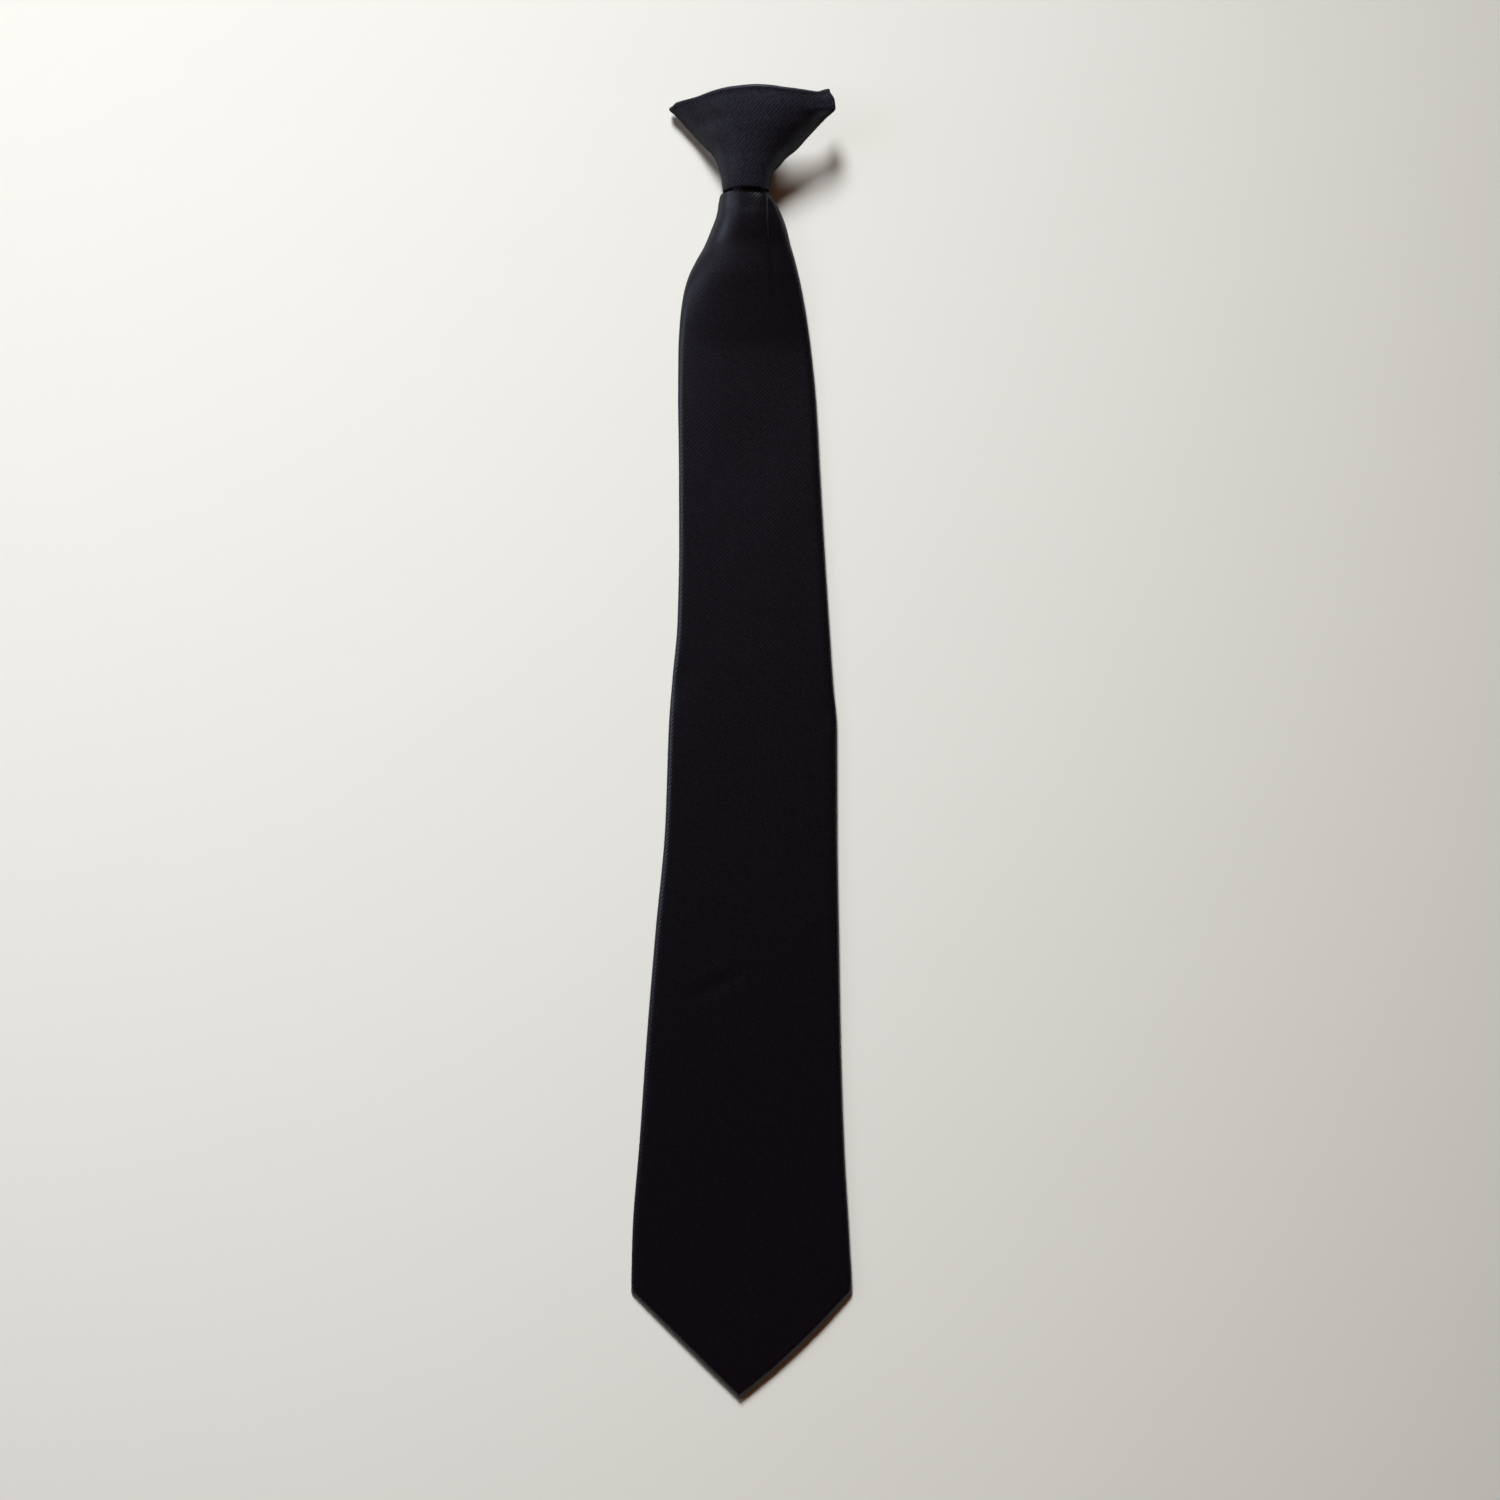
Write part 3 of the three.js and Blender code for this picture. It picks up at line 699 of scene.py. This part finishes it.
# The knot: the same cloth drawn over a stiff moulded core, which closes round the neck and
# flares up into two wings. The cloth is turned in over the rim and the wings' ends, where it
# makes a roll, and is glued inside. Sizes in mm, in the knot's own frame, with its rim at 0.
KNOT_ROLL = math.radians(-12)
KNOT_LENGTH = 36.5
KNOT_ROUND = 1.5
NECK_LIP_ROUND = 0.6
RIM_SHAPE_DEPTH = 12
RIM_ROLL = {"height": 0.3, "inset": 1.1, "width": 0.9}
WING_ROLL = {"height": 0.65, "inset": 1.4, "width": 1.3}
TURN_IN = 9
TURN_IN_THICK = 0.3
EASED_OVER = 6
WING_END_SHARE = 0.6
WINGS_BEGIN = 18
WINGS_ARE_FULL = 10
LEFT_WING_SETTLES = {"depth": 1.7, "share": -0.69, "width": 0.21}
KNOT_WAVES = {"height": 0.12, "across": 1 / 2.2, "along": 14, "pattern": 5.3}
# The knot's cloth is the blade's cloth with its colours painted several times lighter and bluer. This is
# painted light, for the brighter light that the knot's front catches.
KNOT_CLOTH_PAINTED_LIGHTER = {
    "name": "Black twill drawn over a core",
    "deep_shade": "16161d",
    "light_fleck_shade": "31313d",
    "gloss": 0.22,
    "roughness": 0.42,
}

# The same values as the blade's, from the rim down to the neck. crown is how high the middle of
# the front lies.
KNOT_SECTIONS = [
    {"along": 0, "left": -29.5, "right": 33, "curl": 75, "bow": 12.2, "crown": 15.3, "thick": 3.2},
    {"along": -1.2, "left": -29.5, "right": 33.2, "curl": 75, "bow": 12.2, "crown": 15.2, "thick": 3.2},
    {"along": -4, "left": -27.6, "right": 34.8, "curl": 76, "bow": 12.2, "crown": 14.8, "thick": 3.2},
    {"along": -7.5, "left": -25.1, "right": 35.2, "curl": 77, "bow": 12, "crown": 14.2, "thick": 3.2},
    {"along": -10.8, "left": -23.1, "right": 31.5, "curl": 78, "bow": 11.8, "crown": 13.4, "thick": 3.1},
    {"along": -14.3, "left": -20.2, "right": 27.4, "curl": 80, "bow": 11.6, "crown": 12.5, "thick": 3},
    {"along": -17.7, "left": -17.1, "right": 23.5, "curl": 83, "bow": 11.4, "crown": 11.4, "thick": 2.9},
    {"along": -21.4, "left": -13.4, "right": 19.5, "curl": 89, "bow": 11.2, "crown": 10.3, "thick": 2.7},
    {"along": -24.7, "left": -11.6, "right": 14.8, "curl": 101, "bow": 10.9, "crown": 9.3, "thick": 2.4},
    {"along": -27, "left": -10.7, "right": 12.9, "curl": 115, "bow": 10.9, "crown": 8.7, "thick": 2.1},
    {"along": -29.3, "left": -9.8, "right": 10.9, "curl": 135, "bow": 10.9, "crown": 8.1, "thick": 1.9},
    {"along": -31.6, "left": -9.3, "right": 10.4, "curl": 150, "bow": 10.9, "crown": 7.5, "thick": 1.7},
    {"along": -33.8, "left": -9.1, "right": 9.8, "curl": 160, "bow": 10.9, "crown": 6.9, "thick": 1.4},
    {"along": -KNOT_LENGTH, "left": -9, "right": 9.3, "curl": 165, "bow": 10.9, "crown": 6.2, "thick": 1.25},
]

# The rim seen from the front: how far it lies below its highest point, across the knot.
RIM = [
    {"along": -1, "drop": 3.1},
    {"along": -0.95, "drop": 2.9},
    {"along": -0.9, "drop": 2.15},
    {"along": -0.8, "drop": 1.95},
    {"along": -0.6, "drop": 1.65},
    {"along": -0.4, "drop": 0.95},
    {"along": -0.2, "drop": 0.3},
    {"along": 0.1, "drop": 0},
    {"along": 0.3, "drop": 0.4},
    {"along": 0.5, "drop": 1.3},
    {"along": 0.85, "drop": 2},
    {"along": 1, "drop": 0},
]

# The funnel itself follows an eased outline, and only the wings' ends reach out to the real one.
eased_sections = []
for row in KNOT_SECTIONS:
    nearby = [row["along"] + EASED_OVER * n for n in (-1, -0.5, 0, 0.5, 1)]
    eased = {}
    for side in ("left", "right"):
        eased[side] = sum(sample(KNOT_SECTIONS, side, place) for place in nearby) / len(nearby)
    eased_sections.append(row | eased)

KNOT_FOLD_SHARE = 0.76
knot_shares = spaced(0, KNOT_FOLD_SHARE, 0.04)
knot_shares += [lerp(KNOT_FOLD_SHARE, 1, math.sin(n * math.pi / 48)) for n in range(25)]
knot_columns = sleeve_columns(knot_shares)
knot_stations = (
    [-KNOT_ROUND * (1 - math.cos(n * math.pi / 16)) for n in range(8)]
    + spaced(-KNOT_ROUND, -KNOT_LENGTH + NECK_LIP_ROUND, 0.5)
    + [-KNOT_LENGTH + NECK_LIP_ROUND * (1 - math.sin(n * math.pi / 16)) for n in range(9)]
)


def rolled(roll, distance):
    """The height of a roll of cloth at a distance in from the folded edge beside it."""
    return roll["height"] * hump(distance, roll["inset"], roll["width"])


def knot_row(along):
    """The knot's points at one place below its rim, in the order of knot_columns."""
    section = section_at(eased_sections, along)
    from_rim, from_neck = -along, along + KNOT_LENGTH
    wing = smooth_step(WINGS_BEGIN, WINGS_ARE_FULL, from_rim)
    points = []
    for side, share in knot_columns:
        from_side = (1 - abs(share)) * section["reach"]
        full = min(fold_round(min(from_side, from_rim), KNOT_ROUND), fold_round(from_neck, NECK_LIP_ROUND))
        out = section["thick"] / 2
        if side == "front":
            out += max(rolled(RIM_ROLL, from_rim), wing * rolled(WING_ROLL, from_side))
            out += wavy(KNOT_WAVES, share, along)
        else:
            bare = fold_round(min(from_side, from_rim) - TURN_IN, TURN_IN_THICK)
            out = TURN_IN_THICK * bare - out
        points.append(cloth_point(section, share, out * full))
    rise = section["crown"] - section["thick"] / 2 - section["bow"] / 2
    rim_share = max(1 - from_rim / RIM_SHAPE_DEPTH, 0)
    neck_share = max(1 - from_neck / (2 * NECK_LIP_ROUND), 0)
    row = []
    for x, z, sideways in reached_out(fitted(points, section), along):
        drop = rim_share * sample(RIM, "drop", sideways)
        lift = neck_share * NECK_FOLD_RISE * (1 - sideways**2)
        settled = wing * LEFT_WING_SETTLES["depth"]
        settled *= hump(sideways, LEFT_WING_SETTLES["share"], LEFT_WING_SETTLES["width"])
        row.append(Vector((x, along - drop + lift, z + rise - settled)))
    return row


def reached_out(points, along):
    """Moves the ends of a row of points out to the knot's outline, and says how far aside each is."""
    left, right = min(x for x, _ in points), max(x for x, _ in points)
    middle, half_width = (left + right) / 2, (right - left) / 2
    to_left = sample(KNOT_SECTIONS, "left", along) - left
    to_right = sample(KNOT_SECTIONS, "right", along) - right
    moved = []
    for x, z in points:
        sideways = (x - middle) / half_width
        reach = (to_left if sideways < 0 else to_right) * smooth_step(WING_END_SHARE, 1, abs(sideways))
        moved.append((x + reach, z, sideways))
    return moved


knot_frame = Matrix.Translation(KNOT_PLACE) @ Matrix.Rotation(KNOT_ROLL, 4, "Y")
knot_mesh = sleeve(knot_columns, knot_stations, knot_row)
bmesh.ops.transform(knot_mesh, matrix=knot_frame, verts=knot_mesh.verts)
knot_wrap = finish_piece("knot_wrap", knot_mesh, bias_twill(**KNOT_CLOTH_PAINTED_LIGHTER))
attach(knot_wrap, "root")
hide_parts("knot")

# The collar clip: one bent strip of black moulded nylon behind the knot. Its plate is fixed to
# the knot's core, and its springy tongue goes behind the shirt's collar band. The tongue's end
# flares so that the collar slides in. Sizes in mm, in the clip's own frame.
CLIP_PLACE = Vector((3.3, -3.2, 10.4))
CLIP_PITCH = math.radians(15.5)
CLIP_THICK = 1.4
CLIP_GAP = 3
CLIP_WIDTH = 14
CLIP_CORNER = 4
CLIP_EDGE = 0.25
PLATE_LENGTH = 19
TONGUE_LENGTH = 22
LIP_LENGTH = 4
LIP_FLARE = 1.2


def clip_strip():
    """The strip's middle surface: a cross edge drawn out, round the bend and back to the lip."""
    strip = bmesh.new()
    outside = CLIP_THICK + CLIP_GAP / 2
    half = CLIP_WIDTH / 2
    lower_end = [strip.verts.new((x, -PLATE_LENGTH, -CLIP_THICK / 2)) for x in (-half, half)]
    edge = strip.edges.new(lower_end)

    def draw_out(edge, y, z):
        made = bmesh.ops.extrude_edge_only(strip, edges=[edge])["geom"]
        moved = [part for part in made if isinstance(part, bmesh.types.BMVert)]
        bmesh.ops.translate(strip, verts=moved, vec=(0, y, z))
        edges = [part for part in made if isinstance(part, bmesh.types.BMEdge)]
        return next(part for part in edges if set(part.verts) == set(moved))

    edge = draw_out(edge, PLATE_LENGTH - outside, 0)
    bent = bmesh.ops.spin(
        strip, geom=[edge], cent=(0, -outside, -outside), axis=(1, 0, 0), angle=-math.pi, steps=16
    )["geom_last"]
    edge = next(part for part in bent if isinstance(part, bmesh.types.BMEdge))
    edge = draw_out(edge, -(TONGUE_LENGTH - LIP_LENGTH - outside), 0)
    edge = draw_out(edge, -LIP_LENGTH, -LIP_FLARE)
    bmesh.ops.bevel(
        strip,
        geom=lower_end + list(edge.verts),
        offset=CLIP_CORNER,
        offset_type="OFFSET",
        affect="VERTICES",
        segments=8,
        profile=0.5,
        material=-1,
    )
    bmesh.ops.recalc_face_normals(strip, faces=strip.faces)
    return strip


def moulded_nylon():
    """Moulded nylon: satin black, with a fine spark-eroded grain about 0.2 mm across."""
    material = new_material("Moulded nylon")
    place = add_node(material, "ShaderNodeTexCoord", {}, {}).outputs["Object"]
    grain = add_node(material, "ShaderNodeTexNoise", {"Scale": 5000.0, "Detail": 2.0}, {"Vector": place})
    flow = add_node(material, "ShaderNodeTexNoise", {"Scale": 120.0, "Detail": 2.0}, {"Vector": place})
    bump = add_node(
        material,
        "ShaderNodeBump",
        {"Strength": 0.3, "Distance": 0.00002},
        {"Height": grain.outputs["Fac"]},
    )
    rough = add_node(
        material,
        "ShaderNodeMapRange",
        {"To Min": 0.34, "To Max": 0.48},
        {"Value": flow.outputs["Fac"]},
    )
    add_surface(
        material,
        {"Base Color": linear("161617"), "IOR": 1.53},
        {"Roughness": rough.outputs["Result"], "Normal": bump.outputs["Normal"]},
    )
    return material


clip_frame = knot_frame @ Matrix.Translation(CLIP_PLACE) @ Matrix.Rotation(CLIP_PITCH, 4, "X")
clip_mesh = clip_strip()
bmesh.ops.transform(clip_mesh, matrix=clip_frame, verts=clip_mesh.verts)
nylon_clip = finish_piece("nylon_clip", clip_mesh, moulded_nylon())
wall = nylon_clip.modifiers.new("wall", "SOLIDIFY")
wall.thickness = CLIP_THICK / 1000
wall.offset = 0
wall.use_even_offset = True
edges = nylon_clip.modifiers.new("edges", "BEVEL")
edges.width = CLIP_EDGE / 1000
edges.segments = 3
edges.limit_method = "ANGLE"
edges.angle_limit = math.radians(50)
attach(nylon_clip, "root")
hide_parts("collar_clip")
